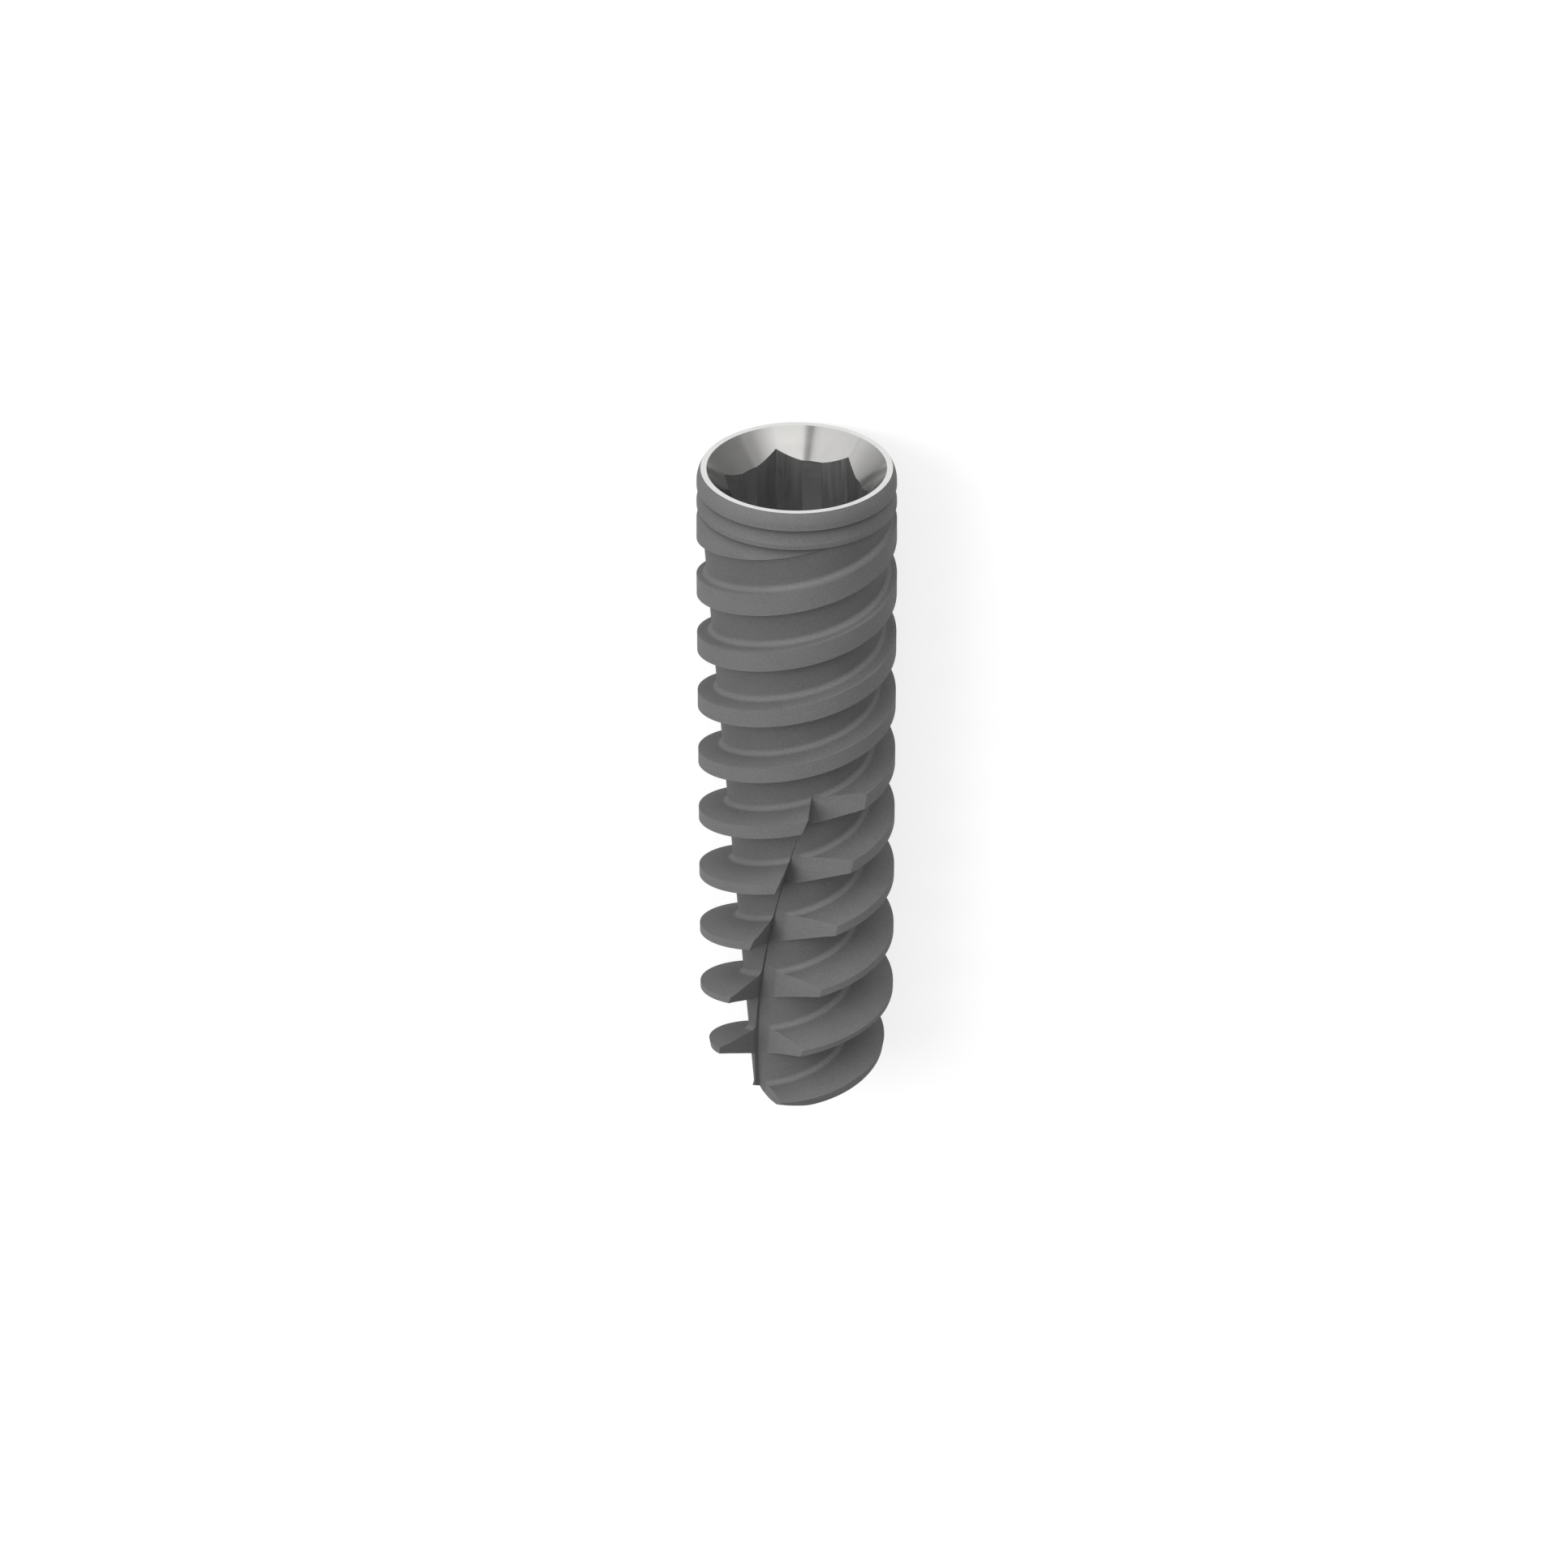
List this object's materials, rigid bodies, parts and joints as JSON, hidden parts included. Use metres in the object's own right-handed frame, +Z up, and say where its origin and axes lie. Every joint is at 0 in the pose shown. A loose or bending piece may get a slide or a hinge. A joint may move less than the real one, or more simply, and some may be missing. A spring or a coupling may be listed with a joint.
{
  "type": "dental implant",
  "caption": "Tapered endosseous dental implant fixture with a deep double thread, spiral cutting flutes and an internal hex socket.",
  "frame": {"origin": "on the ground plane, midway along the implant's length, under its axis", "axes": "the implant lies on its thread crests, which touch z = 0; +X runs along it towards the platform end, within half a degree of its axis; +Z is up, away from the surface that it lies on"},
  "size_m": [0.013, 0.0038, 0.0038],
  "materials": {
    "blasted_titanium": "grit-blasted and etched dark grey titanium; the platform rim and the bevel of the socket are polished"
  },
  "bodies": {
    "root": {"implant_body": "blasted_titanium"}
  },
  "joints": []
}
